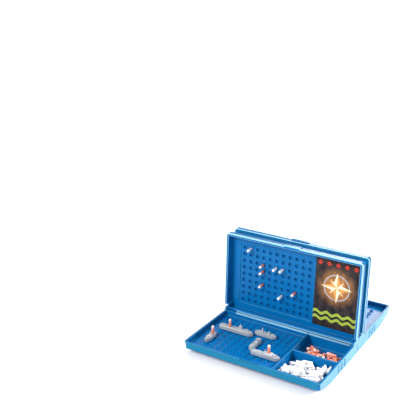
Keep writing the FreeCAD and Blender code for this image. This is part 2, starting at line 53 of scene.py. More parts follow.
class Wire:
    """A node socket that adds Math nodes when it is used in Python sums."""

    def __init__(self, tree, socket=None):
        self.tree = tree
        self.socket = socket

    def node(self, kind, settings=None, sockets=None, output=0):
        """Add a node: its settings first, then the values or links of its sockets."""
        added = self.tree.nodes.new(kind)
        for name, value in (settings or {}).items():
            setattr(added, name, value)
        for name, value in (sockets or {}).items():
            if isinstance(value, Wire):
                self.tree.links.new(value.socket, added.inputs[name])
            else:
                added.inputs[name].default_value = value
        return Wire(self.tree, added.outputs[output]) if added.outputs else None

    def maths(self, operation, first, second=0.0):
        return self.node("ShaderNodeMath", {"operation": operation}, {0: first, 1: second})

    def __add__(self, other):
        return self.maths("ADD", self, other)

    def __sub__(self, other):
        return self.maths("SUBTRACT", self, other)

    def __rsub__(self, other):
        return self.maths("SUBTRACT", other, self)

    def __mul__(self, other):
        return self.maths("MULTIPLY", self, other)

    def __abs__(self):
        return self.maths("ABSOLUTE", self)

    __radd__ = __add__
    __rmul__ = __mul__

    def step(self, low, high):
        """0 below low and 1 above high, with a soft edge; low may be the larger."""
        return self.node("ShaderNodeMapRange", {"interpolation_type": "SMOOTHSTEP"},
                         {0: self, 1: low, 2: high, 3: 0.0, 4: 1.0})

    def blend(self, first, second):
        """Mix two colours, this value being the share of the second."""
        return self.node("ShaderNodeMix", {"data_type": "RGBA"},
                         {0: self, 6: colour_of(first), 7: colour_of(second)}, 2)


def colour_of(value):
    return value if isinstance(value, Wire) else (*value, 1)


def new_finish(name):
    """A bare material and the wire that starts its nodes."""
    material = bpy.data.materials.new(name)
    material.use_nodes = True
    material.node_tree.nodes.clear()
    return material, Wire(material.node_tree)


def close_finish(start, sockets):
    surface = start.node("ShaderNodeBsdfPrincipled", None, sockets)
    start.node("ShaderNodeOutputMaterial", None, {"Surface": surface})


def noise(start, scale, detail, place=None):
    spot = place or start.node("ShaderNodeTexCoord", None, None, "Object")
    return start.node("ShaderNodeTexNoise", None, {"Vector": spot, "Scale": scale, "Detail": detail})


def relief(start, height, strength, depth):
    """A bump from a height, its depth in millimetres."""
    return start.node("ShaderNodeBump", None, {
        "Strength": strength, "Distance": depth * MM, "Height": height})


CLOUDS, SCUFFS, GRAIN = 45.0, 420.0, 2600.0
GRAIN_STRENGTH, GRAIN_DEPTH, SCUFF_DULL = 0.06, 0.02, 0.12


def moulded(name, colour, deep_colour, roughness, pales=(), extra=None, shade=None):
    """A moulded plastic of cloudy colour and scuffed gloss.

    A face marked from 0 to 1 goes through the pale tints of painted highlight in turn, and one marked
    below 0 into painted shade.
    """
    material, start = new_finish(name)
    cloud = noise(start, CLOUDS, 3.0).step(0.3, 0.7)
    scuff = noise(start, SCUFFS, 4.0).step(0.35, 0.75)
    bump = relief(start, noise(start, GRAIN, 2.0), GRAIN_STRENGTH, GRAIN_DEPTH)
    tint = cloud.blend(colour, deep_colour)
    if pales:
        mark = start.node("ShaderNodeAttribute", {"attribute_name": "pale"}, None, "Fac") * len(pales)
        for level, pale in enumerate(pales):
            tint = mark.step(level, level + 1).blend(tint, pale)
        if shade:
            tint = mark.step(0, -1).blend(tint, shade)
    sockets = {"Base Color": tint, "Roughness": roughness + SCUFF_DULL * scuff, "Normal": bump}
    sockets.update(extra or {})
    close_finish(start, sockets)
    return material


CASE_BLUE = (0.000, 0.135, 0.385)
CASE_DEEP = (0.000, 0.122, 0.350)
# The next two tints are painted highlights for lit sides, fronts and rounded edges; the one after is
# painted shade for the lid's band and wall.
CASE_PAINTED_LIGHT = (0.004, 0.160, 0.300)
CASE_EDGE_HIGHLIGHT = (0.380, 0.700, 0.900)
CASE_SHADE = (0.000, 0.080, 0.230)
LOW_GLOSS = {"Specular IOR Level": 0.15}
CASE_ROUGH = 0.24
case_plastic = moulded("case_blue", CASE_BLUE, CASE_DEEP, CASE_ROUGH, (CASE_PAINTED_LIGHT, CASE_EDGE_HIGHLIGHT),
                       LOW_GLOSS, CASE_SHADE)

HALF_TURN = Matrix.Rotation(math.pi, 4, "Z")
EDGE_ROUND = 0.55 * MM
CREASE, FLAT = math.radians(35), math.radians(0.5)
MERGE = 0.01 * MM
# The mark of painted highlight for rounded edges, used for any rounded edge when no other mark is
# given.
PALE_EDGE = 0.85


def show(name, mesh, material=None):
    piece = bpy.data.objects.new(name, mesh)
    bpy.context.scene.collection.objects.link(piece)
    if material:
        mesh.materials.clear()
        mesh.materials.append(material)
    return piece


def seat(piece, body, slot, *nodes, twin=None):
    """Let a front piece and its half-turned twin, a copy if none is given, ride on the two cases."""
    twin = twin or show("twin", piece.data.copy())
    twin.data.transform(HALF_TURN)
    twin.name = piece.name.replace("front_", "rear_")
    for rider, side in ((piece, "front_"), (twin, "rear_")):
        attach(rider, side + body)
        if nodes:
            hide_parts(*[side + node for node in nodes])


def plain_mesh(piece):
    """Turn a piece with modifiers into a plain mesh."""
    graph = bpy.context.evaluated_depsgraph_get()
    mesh = bpy.data.meshes.new_from_object(piece.evaluated_get(graph))
    piece.modifiers.clear()
    piece.data = mesh
    return piece


def rounded_copy(node, name, width, material, how_round=None, how_pale=None, reshape=None, splits=()):
    """A copy of a moulding with its sharp edges rounded.

    how_round scales the rounding of an edge, how_pale marks a face for painted highlight or shade
    (rounded edges get painted highlight if it is not given), reshape moves a vertex, and splits cuts
    the faces at planes, each given as an axis and a distance in millimetres.
    """
    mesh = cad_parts[node].data.copy()
    work = bmesh.new()
    work.from_mesh(mesh)
    bmesh.ops.remove_doubles(work, verts=work.verts, dist=MERGE)
    bmesh.ops.dissolve_limit(work, angle_limit=FLAT, verts=work.verts, edges=work.edges)
    if reshape:
        for vertex in work.verts:
            vertex.co = reshape(vertex.co / MM) * MM
    for axis, distance in splits:
        bmesh.ops.bisect_plane(work, geom=work.verts[:] + work.edges[:] + work.faces[:],
                               plane_co=Vector(axis) * distance * MM, plane_no=axis)
    weight = work.edges.layers.float.new("bevel_weight_edge")
    for edge in work.edges:
        middle = (edge.verts[0].co + edge.verts[1].co) / 2 / MM
        sharp = len(edge.link_faces) == 2 and edge.calc_face_angle() > CREASE
        edge[weight] = sharp * (how_round(middle) if how_round else 1.0)
    for face in work.faces:
        face.smooth = True
    work.to_mesh(mesh)
    work.free()
    piece = show(name, mesh, material)
    mesh.materials.append(material)
    bevel = piece.modifiers.new("edges", "BEVEL")
    bevel.limit_method = "WEIGHT"
    bevel.width = width
    bevel.segments = 2
    bevel.use_clamp_overlap = False
    bevel.material = 1
    piece.modifiers.new("slivers", "WELD").merge_threshold = MERGE
    piece.modifiers.new("shading", "WEIGHTED_NORMAL")
    mesh = plain_mesh(piece).data
    pale = mesh.attributes.new("pale", "FLOAT", "FACE")
    for face, mark in zip(mesh.polygons, pale.data):
        is_edge = face.material_index == 1
        mark.value = how_pale(face, is_edge) if how_pale else PALE_EDGE * is_edge
        face.material_index = 0
    mesh.materials.pop()
    return piece


HINGE_BACK, HINGE_HEIGHT = 17.0, 25.0
PIN_REACH = 3.2
LATCH_HALF, LATCH_BACK = 16.5, -154.0
SKIRT_SIDE, SKIRT_FRONT, SKIRT_DROP, CORNER = 118.0, -155.5, 2.5, 5.0
BEAD_BACK, BEAD_HEIGHT, BEAD_RADIUS = -21.2, 20.85, 1.3
BEAD_LEFT, BEAD_RIGHT = -98.0, 113.0
GRID_LEFT, GRID_BACK, PITCH = -94.3, 34.5, 12.2
COLUMNS, ROWS = 11, 9
FLOOR_TOP, FLOOR_UNDER, SKIRT_FOOT = 13.6, 12.0, 12.5
# Marks of painted highlight on the base's outer sides, front and edges.
PALE_SIDE, PALE_FRONT, PALE_CORNER, FACING = 0.70, 0.5, 0.6, 0.6
NEAR = 0.1


def by_the_pins(middle):
    return math.hypot(middle.y + HINGE_BACK, middle.z - HINGE_HEIGHT) < PIN_REACH


def in_the_sea_grid(middle):
    return (FLOOR_UNDER - NEAR < middle.z < FLOOR_TOP + NEAR
            and abs(middle.y + GRID_BACK + PITCH * (ROWS - 1) / 2) < PITCH * ROWS / 2
            and GRID_LEFT - PITCH / 2 < middle.x < GRID_LEFT + PITCH * (COLUMNS - 0.5))


def base_rounding(middle):
    """Every edge but those of the holes, the pins and the latch seat, which stay crisp."""
    if by_the_pins(middle) or in_the_sea_grid(middle):
        return 0.0
    if abs(middle.x) < LATCH_HALF and middle.y < LATCH_BACK:
        return 0.0
    return 1.0


def base_painted_light(face, is_edge):
    """Painted highlight: the outer sides are the palest, then the edges and the front."""
    middle = face.center / MM
    if abs(middle.x) > SKIRT_SIDE and abs(face.normal.x) > FACING:
        return PALE_SIDE
    if middle.y < SKIRT_FRONT and face.normal.y < -FACING:
        return PALE_FRONT
    return PALE_CORNER * is_edge


def lower_skirt(spot):
    """Bring the foot of the front skirt down a little, below the rising underside."""
    at_corner = abs(spot.x) > SKIRT_SIDE - CORNER and spot.y < SKIRT_FRONT + CORNER
    if spot.z > SKIRT_FOOT or not (at_corner or spot.y < SKIRT_FRONT):
        return spot
    share = min(1.0, (SKIRT_FRONT + CORNER - spot.y) / CORNER)
    return spot - Vector((0, 0, SKIRT_DROP * share))


base = rounded_copy("front_base", "front_base_shell", EDGE_ROUND, case_plastic,
                    base_rounding, base_painted_light, lower_skirt)
seat(base, "case", "blue_case", "base")


def finished_mesh(work, name):
    """Close a bmesh as a named mesh with outward faces, smooth but for its flat ends."""
    bmesh.ops.recalc_face_normals(work, faces=work.faces)
    for face in work.faces:
        face.smooth = len(face.verts) < 5
    mesh = bpy.data.meshes.new(name)
    work.to_mesh(mesh)
    work.free()
    return mesh


BEAD_STEPS, LIP_BACK = 6, -17.6
# The bead's pale blue is a painted highlight along the front of the hinge deck.
BEAD_HIGHLIGHT_BLUE, BEAD_HIGHLIGHT_DEEP = (0.260, 0.540, 0.740), (0.250, 0.520, 0.710)


def bead_mesh():
    """A bar with a half-round front and a thin lip that runs back over the deck."""
    outline = []
    for count in range(BEAD_STEPS + 1):
        turn = math.pi * (count / BEAD_STEPS - 0.5)
        outline.append((BEAD_BACK - BEAD_RADIUS * math.cos(turn),
                        BEAD_HEIGHT + BEAD_RADIUS * math.sin(turn)))
    outline += [(LIP_BACK, BEAD_HEIGHT + BEAD_RADIUS), (LIP_BACK, BEAD_HEIGHT)]
    work = bmesh.new()
    left, right = ([work.verts.new(Vector((x, y, z)) * MM) for y, z in outline]
                   for x in (BEAD_LEFT, BEAD_RIGHT))
    work.faces.new(left)
    work.faces.new(right)
    for here in range(len(outline)):
        after = (here + 1) % len(outline)
        work.faces.new((left[here], left[after], right[after], right[here]))
    return finished_mesh(work, "bead")


bead_highlight_plastic = moulded("case_blue_bead", BEAD_HIGHLIGHT_BLUE, BEAD_HIGHLIGHT_DEEP, CASE_ROUGH, (), LOW_GLOSS)
bead = show("front_deck_bead", bead_mesh(), bead_highlight_plastic)
seat(bead, "case", "blue_case")

# Sea grid sockets
# Each cell of the grid floor has a raised round collar with a blind socket
# in it, so a stud or a peg is led in by feel and held upright.


def cell(column, row):
    """The place of a cell of the sea grid, counted from 1 at the back left."""
    return GRID_LEFT + (column - 1) * PITCH, -(GRID_BACK + (row - 1) * PITCH)


ROUND_SIDES = 14


def turned(name, profile):
    """A mesh turned about the upright axis from a profile of radii and heights in millimetres."""
    work = bmesh.new()
    verts = [work.verts.new((radius * MM, 0, height * MM)) for radius, height in profile]
    edges = [work.edges.new(pair) for pair in zip(verts, verts[1:])]
    bmesh.ops.spin(work, geom=verts + edges, axis=(0, 0, 1), cent=(0, 0, 0), steps=ROUND_SIDES,
                   angle=2 * math.pi)
    bmesh.ops.remove_doubles(work, verts=work.verts, dist=0.001 * MM)
    return finished_mesh(work, name)


def pattern_tree():
    """One pattern piece repeated on points, each turned by its own attribute."""
    tree = bpy.data.node_groups.new("patterns", "GeometryNodeTree")
    for kind in ("Geometry", "Object", "Material"):
        tree.interface.new_socket(kind, in_out="INPUT", socket_type="NodeSocket" + kind)
    tree.interface.new_socket("Geometry", in_out="OUTPUT", socket_type="NodeSocketGeometry")
    start = Wire(tree)
    given = {socket.name: Wire(tree, socket) for socket in tree.nodes.new("NodeGroupInput").outputs}
    pattern = start.node("GeometryNodeObjectInfo", None, {"Object": given["Object"]}, "Geometry")
    turn = start.node("GeometryNodeInputNamedAttribute", {"data_type": "FLOAT_VECTOR"},
                      {"Name": "turn"})
    spread = start.node("GeometryNodeInstanceOnPoints", None, {
        "Points": given["Geometry"], "Instance": pattern,
        "Rotation": start.node("FunctionNodeEulerToRotation", None, {0: turn})})
    solid = start.node("GeometryNodeRealizeInstances", None, {"Geometry": spread})
    smooth = start.node("GeometryNodeSetShadeSmooth", None, {"Geometry": solid})
    painted = start.node("GeometryNodeSetMaterial", None, {
        "Geometry": smooth, "Material": given["Material"]})
    start.node("NodeGroupOutput", None, {0: painted})
    return tree


patterns = pattern_tree()


def repeated(name, pattern, spots, material):
    """One piece of repeats: each spot is a place in millimetres and three turns."""
    mesh = bpy.data.meshes.new(name)
    mesh.from_pydata([Vector(spot) * MM for spot, turn in spots], [], [])
    turns = mesh.attributes.new("turn", "FLOAT_VECTOR", "POINT")
    for point, (spot, turn) in zip(turns.data, spots):
        point.vector = turn
    piece = show(name, mesh)
    modifier = piece.modifiers.new("repeats", "NODES")
    modifier.node_group = patterns
    inputs = {"Object": pattern, "Material": material}
    for socket in patterns.interface.items_tree:
        if socket.name in inputs:
            modifier[socket.identifier] = inputs[socket.name]
    return plain_mesh(piece)


SOCKET_WALL = 0.3
COLLAR_CROWN, COLLAR_FOOT = 0.225, 0.36
UPRIGHT = (0, 0, 0)


def socket_pattern(mouth, bore, depth, wide, rise):
    """One blind socket: a tapered cup in a thin wall, with a collar that stands round its mouth."""
    lip = mouth + wide / 2
    crown, foot = wide * COLLAR_CROWN, wide * COLLAR_FOOT
    mesh = turned("socket", [
        (0, -depth), (bore, -depth), (mouth, 0), (lip - foot, 0), (lip - crown, rise),
        (lip + crown, rise), (lip + foot, -SOCKET_WALL), (mouth + SOCKET_WALL, -SOCKET_WALL),
        (bore + SOCKET_WALL, -depth - SOCKET_WALL), (0, -depth - SOCKET_WALL)])
    mesh.set_sharp_from_angle(angle=CREASE)
    return show("socket_pattern", mesh)


# The collars and their sockets are a lighter blue than the case: a painted highlight on the raised
# collars.
COLLAR_HIGHLIGHT_BLUE, COLLAR_HIGHLIGHT_DEEP = (0.000, 0.210, 0.530), (0.000, 0.190, 0.480)
collar_highlight_plastic = moulded("case_blue_collars", COLLAR_HIGHLIGHT_BLUE, COLLAR_HIGHLIGHT_DEEP, CASE_ROUGH, (), LOW_GLOSS)
SEA_MOUTH, SEA_BORE, SEA_DEPTH = 2.15, 2.05, 3.6
COLLAR_WIDE, COLLAR_RISE = 1.7, 1.8
GRID_CELLS = [(column, row) for column in range(1, COLUMNS + 1) for row in range(1, ROWS + 1)]
socket = socket_pattern(SEA_MOUTH, SEA_BORE, SEA_DEPTH, COLLAR_WIDE, COLLAR_RISE)
sea_spots = [((*cell(*spot), FLOOR_TOP), UPRIGHT) for spot in GRID_CELLS]
sea_sockets = repeated("front_sea_sockets", socket, sea_spots, collar_highlight_plastic)
bpy.data.objects.remove(socket)
seat(sea_sockets, "case", "blue_case")

# Case lids
# A lid is a shallow tray with a stout band round its open side and the target
# grid in a sunk field; its lower rim is a round hinge barrel on two pins.

FIELD_FACE, LID_BACK, LID_RIM = -3.0, -1.6, -19.7
TARGET_LOW = HINGE_HEIGHT + GRID_BACK - HINGE_BACK
FRONT_WIDER, BACK_WIDER = 1.45, 1.2
BAND_BACK, BAND_MIDDLE, BAND_SLACK = -8.7, -16.5, 0.5
LID_FOOT = 32.0
LID_INSIDE, LID_HEAD, RIM_DRAFT = 116.6, 159.6, 1.6
WALL_HALF, WALL_TOP = 118.6, 161.6
TAB_FOOT = 1.0
RIM_ROUND, BAND_ROUND, STEP_REACH = 2.4, 1.7, 1.6
# Marks of painted highlight on the step and inside edges, and of painted shade on the band and the
# wall.
PALE_STEP, PALE_STEP_EDGE, PALE_INSIDE = 0.3, 1.0, 0.3
SHADE_BAND, SHADE_WALL = -0.3, -0.5
LEANING, SQUARE = 0.3, 0.9


def in_the_target_grid(middle):
    return (FIELD_FACE - NEAR < middle.y < LID_BACK + NEAR
            and TARGET_LOW - PITCH / 2 < middle.z < TARGET_LOW + PITCH * (ROWS - 0.5)
            and GRID_LEFT - PITCH / 2 < middle.x < GRID_LEFT + PITCH * (COLUMNS - 0.5))


def refine_lid(spot):
    """Open the inside at the rim, as moulding draught does, and widen the holes for the sockets."""
    if spot.y < LID_RIM + NEAR and abs(spot.x) < LID_INSIDE + NEAR and spot.z < LID_HEAD + NEAR:
        wide = (LID_INSIDE + RIM_DRAFT) / LID_INSIDE if abs(spot.x) > LID_INSIDE - NEAR else 1.0
        rise = RIM_DRAFT if spot.z > LID_HEAD - NEAR else 0.0
        return Vector((spot.x * wide, spot.y, spot.z + rise))
    if not in_the_target_grid(spot):
        return spot
    x = GRID_LEFT + PITCH * round((spot.x - GRID_LEFT) / PITCH)
    z = TARGET_LOW + PITCH * round((spot.z - TARGET_LOW) / PITCH)
    wider = FRONT_WIDER if spot.y < (FIELD_FACE + LID_BACK) / 2 else BACK_WIDER
    return Vector((x + (spot.x - x) * wider, spot.y, z + (spot.z - z) * wider))


def outside(middle, slack):
    return abs(middle.x) > WALL_HALF + slack or middle.z > WALL_TOP + slack


def lid_rounding(middle):
    """The rim's outer edge is the roundest; the holes, the pins and the latch tab's foot stay crisp."""
    if by_the_pins(middle) or in_the_target_grid(middle):
        return 0.0
    on_band = LID_RIM + NEAR < middle.y < BAND_BACK - BAND_SLACK
    if abs(middle.x) < LATCH_HALF and on_band and middle.z > WALL_TOP + TAB_FOOT:
        return 0.0
    if not outside(middle, 3 * NEAR):
        return 1.0
    return RIM_ROUND if middle.y < LID_RIM + NEAR else BAND_ROUND


def lid_painted_light_and_shade(face, is_edge):
    """Painted highlight on the rim, the step behind the band and the barrel's lower front; painted
    shade on the wall.
    """
    middle = face.center / MM
    low_on_barrel = by_the_pins(middle) and middle.z < HINGE_HEIGHT + 3 * NEAR
    if low_on_barrel and face.normal.y < -LEANING and BEAD_LEFT < middle.x < BEAD_RIGHT:
        return PALE_EDGE
    if face.normal.y > SQUARE and abs(middle.y - BAND_BACK) < NEAR:
        return PALE_STEP
    if middle.z < LID_FOOT or not outside(middle, -2 * NEAR):
        return PALE_INSIDE * is_edge
    if middle.y < BAND_MIDDLE:
        return PALE_EDGE
    if is_edge and BAND_BACK - STEP_REACH < middle.y < BAND_BACK + NEAR / 2:
        return PALE_STEP_EDGE
    return SHADE_BAND if middle.y < BAND_BACK else SHADE_WALL


lid = rounded_copy("front_lid", "front_lid_tray", EDGE_ROUND, case_plastic,
                   lid_rounding, lid_painted_light_and_shade, refine_lid,
                   (((0, 1, 0), BAND_MIDDLE), ((1, 0, 0), BEAD_LEFT)))
seat(lid, "lid_shell", "blue_case", "lid")

# The eyelets and the cups in the target holes are a little darker than the case blue: painted shade in
# the holes.
EYELET_SHADE_BLUE, EYELET_SHADE_DEEP, EYELET_ROUGH = (0.000, 0.108, 0.325), (0.000, 0.098, 0.295), 0.30
eyelet_shade_plastic = moulded("case_blue_eyelets", EYELET_SHADE_BLUE, EYELET_SHADE_DEEP, EYELET_ROUGH, (), LOW_GLOSS)
TARGET_MOUTH, TARGET_BORE, TARGET_DEPTH = 2.9, 2.0, 2.6
EYELET_WIDE, EYELET_RISE = 1.5, 0.18
TO_PLAYER = (math.pi / 2, 0, 0)


def in_lid(column, row):
    """The place and turn of something in the target grid, counted from 1 at the top left."""
    return (cell(column, 1)[0], FIELD_FACE, TARGET_LOW + (ROWS - row) * PITCH), TO_PLAYER


socket = socket_pattern(TARGET_MOUTH, TARGET_BORE, TARGET_DEPTH, EYELET_WIDE, EYELET_RISE)
target_spots = [in_lid(*spot) for spot in GRID_CELLS]
target_sockets = repeated("front_target_sockets", socket, target_spots, eyelet_shade_plastic)
bpy.data.objects.remove(socket)
seat(target_sockets, "lid_shell", "blue_case")

# Printed cards
# A thin printed card is glued to the lid beside the target grid. It shows a
# compass star on a warm ground, with diamonds above and waves below.

card_low, card_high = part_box("front_dash_card")
CARD_WIDE = card_high.x - card_low.x
CARD_TALL = card_high.z - card_low.z
STAR_UP, STAR_LONG, STAR_SLIM, STAR_RING = 0.60, 27.0, 3.6, 22.0
SHORT_STAR, STAR_SOFT, STAR_FOLD = 0.62, 0.4, 0.5
STAR_RING_EDGE, STAR_RING_CORE = 1.1, 0.6
GLOW_OUT, GLOW_IN, GLOW_LEAST, GLOW_MORE = 40.0, 8.0, 0.35, 0.40
WAVE_UPS, WAVE_HIGH, WAVE_LONG, WAVE_THICK = (25.0, 15.0), 2.2, 19.0, 2.6
DIAMOND_UP, DIAMOND_HALF, DIAMONDS = 10.0, 4.6, 5
CARD_DARK, CARD_BROWN = (0.012, 0.013, 0.018), (0.050, 0.036, 0.034)
CARD_ORANGE, CARD_CREAM = (0.80, 0.34, 0.10), (0.98, 0.86, 0.58)
CARD_GREEN, CARD_GREY = (0.36, 0.47, 0.06), (0.42, 0.44, 0.47)
CARD_RED = (0.46, 0.035, 0.025)
CARD_CORNER = 1.5
PRINT_SOFT = 0.3
PRINT_CLOUDS, PAPER_GRAIN = 9.0, 900.0
CARD_ROUGH, PAPER_DULL, PAPER_STRENGTH, PAPER_DEPTH = 0.30, 0.1, 0.08, 0.01


def printed_card():
    material, start = new_finish("printed_card")
    across = start.node("ShaderNodeUVMap")
    split = start.node("ShaderNodeSeparateXYZ", None, {0: across})
    wide, tall = CARD_WIDE / MM, CARD_TALL / MM
    right = split * wide
    up = Wire(start.tree, split.socket.node.outputs[1]) * tall
    dx, dy = right - wide / 2, up - tall * STAR_UP
    reach = start.maths("SQRT", dx * dx + dy * dy)
    clouds = noise(start, PRINT_CLOUDS, 5.0, across).step(0.30, 0.72)
    picture = clouds.blend(CARD_DARK, CARD_BROWN)
    glow = reach.step(GLOW_OUT, GLOW_IN) * (GLOW_LEAST + GLOW_MORE * clouds)
    picture = glow.blend(picture, CARD_ORANGE)

    def star(one, other, long, slim):
        """Four slim points along two axes, each split into a pale and a deep half."""
        most = start.maths("MAXIMUM", abs(one), abs(other))
        least = start.maths("MINIMUM", abs(one), abs(other))
        half = one * other * (abs(one) - abs(other))
        points = (most + least * slim).step(long + STAR_SOFT, long - STAR_SOFT)
        return points, half.step(-STAR_FOLD, STAR_FOLD)

    picture = abs(reach - STAR_RING).step(STAR_RING_EDGE, STAR_RING_CORE).blend(picture, CARD_GREY)
    aslant = (dx + dy) * math.sqrt(0.5), (dx - dy) * math.sqrt(0.5)
    for axes, share in ((aslant, SHORT_STAR), ((dx, dy), 1.0)):
        points, half = star(*axes, STAR_LONG * share, STAR_SLIM)
        picture = points.blend(picture, half.blend(CARD_ORANGE, CARD_CREAM))
    for level in WAVE_UPS:
        crest = level + WAVE_HIGH * start.maths("SINE", right * (2 * math.pi / WAVE_LONG))
        wave = abs(up - crest).step(WAVE_THICK + PRINT_SOFT, WAVE_THICK - PRINT_SOFT)
        picture = wave.blend(picture, CARD_GREEN)
    for count in range(DIAMONDS):
        aside = abs(right - wide * (count + 0.5) / DIAMONDS)
        diamond = aside + abs(up - (tall - DIAMOND_UP))
        diamond = diamond.step(DIAMOND_HALF + PRINT_SOFT, DIAMOND_HALF - PRINT_SOFT)
        picture = diamond.blend(picture, CARD_RED)
    paper = noise(start, PAPER_GRAIN, 2.0)
    close_finish(start, {"Base Color": picture, "Roughness": CARD_ROUGH + PAPER_DULL * paper,
                         "Normal": relief(start, paper, PAPER_STRENGTH, PAPER_DEPTH), **LOW_GLOSS})
    return material


def card_mesh():
    """A flat card with round corners, and a map that spreads the print over it."""
    work = bmesh.new()
    bmesh.ops.create_cube(work, size=1.0)
    bmesh.ops.scale(work, verts=work.verts, vec=card_high - card_low)
    bmesh.ops.translate(work, verts=work.verts, vec=(card_low + card_high) / 2)
    corners = [edge for edge in work.edges if abs((edge.verts[0].co - edge.verts[1].co).y) > 0.1 * MM]
    bmesh.ops.bevel(work, geom=corners, offset=CARD_CORNER * MM, segments=4, affect="EDGES",
                    profile=0.5)
    uv = work.loops.layers.uv.new("print")
    for face in work.faces:
        for loop in face.loops:
            spot = loop.vert.co - card_low
            loop[uv].uv = (spot.x / CARD_WIDE, spot.z / CARD_TALL)
    mesh = bpy.data.meshes.new("card")
    work.to_mesh(mesh)
    work.free()
    return mesh


card = show("front_card", card_mesh(), printed_card())
seat(card, "lid_shell", "printed_card", "dash_card")

# Ships
# Five small ships are moulded in a pale, slightly clear grey plastic, with
# studs below the hull and a round peg socket in the deck over each stud.

CLEAR = {"Transmission Weight": 0.30, "IOR": 1.49}
# Of the three greys below, the palest is a painted highlight on the ships' rounded edges.
SHIP_GREY, SHIP_DEEP, SHIP_EDGE_HIGHLIGHT = (0.54, 0.57, 0.60), (0.46, 0.49, 0.53), (0.90, 0.91, 0.93)
# The fittings' paler grey is a painted highlight; they are the same plastic as the hull.
DETAIL_HIGHLIGHT_GREY, DETAIL_HIGHLIGHT_DEEP = (0.78, 0.80, 0.83), (0.70, 0.72, 0.76)
SHIP_ROUGH = 0.28
ship_plastic = moulded("ship_grey", SHIP_GREY, SHIP_DEEP, SHIP_ROUGH, (SHIP_EDGE_HIGHLIGHT,), CLEAR)
ship_detail_highlight = moulded("ship_grey_detail", DETAIL_HIGHLIGHT_GREY, DETAIL_HIGHLIGHT_DEEP, SHIP_ROUGH, (), CLEAR)
SHIP_EDGE = 0.15 * MM
BOAT_COLUMN, REAR_BOAT_COLUMN = 1, 3
for ship in ("carrier", "battleship", "cruiser", "submarine"):
    hull = rounded_copy("front_" + ship, "front_%s_hull" % ship, SHIP_EDGE, ship_plastic)
    seat(hull, "case", "grey_ship", ship)
boat = rounded_copy("front_patrol_boat", "front_patrol_boat_hull", SHIP_EDGE, ship_plastic)
rear_boat = show("rear_boat", boat.data.copy())
rear_boat.data.transform(Matrix.Translation(((REAR_BOAT_COLUMN - BOAT_COLUMN) * PITCH * MM, 0, 0)))
seat(boat, "case", "grey_ship", "patrol_boat", twin=rear_boat)

# Ship fittings
# Guns, masts, deck strips and the collar of each peg socket are moulded in
# one with the hull, and stand a fraction of a millimetre to a few high.

DECK_TOP, TURRET_TALL = 21.2, 3.2
MAST, TALL_MAST, GUN, LIGHT_GUN = 0.4, 0.45, 0.5, 0.4
BLOCK_EDGE, ROD_SIDES = 0.18, 12


def block(work, low, high, taper=0.9):
    """A small block of upperworks that narrows a little towards its top."""
    verts = bmesh.ops.create_cube(work, size=1.0)["verts"]
    low, high = Vector(low), Vector(high)
    for vertex in verts:
        share = taper if vertex.co.z > 0 else 1.0
        spread = Vector((vertex.co.x * share, vertex.co.y * share, vertex.co.z))
        vertex.co = ((low + high) / 2 + spread * (high - low)) * MM
    rims = {edge for vertex in verts for edge in vertex.link_edges}
    bmesh.ops.bevel(work, geom=list(rims), offset=BLOCK_EDGE * MM, segments=1, affect="EDGES",
                    profile=0.5)


def rod(work, start, end, radius):
    """A round bar between two places in millimetres."""
    start, end = Vector(start), Vector(end)
    turn = (end - start).to_track_quat("Z", "Y").to_matrix().to_4x4()
    bmesh.ops.create_cone(work, cap_ends=True, segments=ROD_SIDES, radius1=radius * MM,
                          radius2=radius * MM, depth=(end - start).length * MM,
                          matrix=Matrix.Translation((start + end) / 2 * MM) @ turn)


def ship_fittings(boat_column):
    """The fittings of all five ships, in millimetres from one of each ship's cells."""
    work = bmesh.new()
    deck = DECK_TOP
    # Carrier: deck strips, bridge and mast
    x, y = cell(1, 4)
    for side in (-4.3, -2.9):
        block(work, (x - 3, y + side - 0.35, deck - 0.2), (x + 48, y + side + 0.35, deck + 0.35), 0.98)
    block(work, (x + 28.6, y + 2.6, deck + 4.0), (x + 32.4, y + 4.8, deck + 5.4))
    rod(work, (x + 30.5, y + 3.7, deck + 5), (x + 30.5, y + 3.7, deck + 8.4), MAST)
    # Battleship: turret block, guns fore and aft, and mast
    x, y = cell(10, 8)
    block(work, (x - 7.0, y - 4.6, deck - 0.2), (x + 7.2, y + 4.6, deck + TURRET_TALL + 0.1), 0.93)
    for side in (-1.4, 1.4):
        rod(work, (x + 6, y + side, deck + 2.2), (x + 13.4, y + side, deck + 2.7), GUN)
        rod(work, (x - 14, y + side, deck + 1.2), (x - 20.4, y + side, deck + 1.5), GUN)
    rod(work, (x - 6.6, y, deck + 2.8), (x - 6.6, y, deck + 7.6), TALL_MAST)
    # Cruiser: mast, funnel and guns
    x, y = cell(6, 3)
    rod(work, (x + 6.3, y, deck + 6), (x + 6.3, y, deck + 9.2), MAST)
    block(work, (x + 17.6, y - 1.1, deck + 3.0), (x + 19.4, y + 1.1, deck + 4.6))
    for side in (-1.2, 1.2):
        rod(work, (x + 8, y + side, deck + 1.4), (x + 11.4, y + side, deck + 1.8), LIGHT_GUN)
    # Submarine: periscope and hatch
    x, y = cell(7, 5)
    rod(work, (x, y - 6.1, deck + 2.6), (x, y - 6.1, deck + 5.4), MAST)
    block(work, (x - 0.5, y - 22.5, deck - 0.2), (x + 0.5, y - 20.3, deck + 0.9))
    # Patrol boat: mast and gun
    x, y = cell(boat_column, 7)
    rod(work, (x, y - 6.1, deck + 2.4), (x, y - 6.1, deck + 6.4), MAST)
    rod(work, (x, y - 18.6, deck + 1.0), (x, y - 23.2, deck + 1.4), LIGHT_GUN)
    return finished_mesh(work, "ship_fittings")


# The fittings and the socket rings take the paler grey of painted highlight.
fittings, rear_fittings = (show("front_ship_fittings", ship_fittings(column), ship_detail_highlight)
                           for column in (BOAT_COLUMN, REAR_BOAT_COLUMN))
seat(fittings, "case", "grey_ship", twin=rear_fittings)

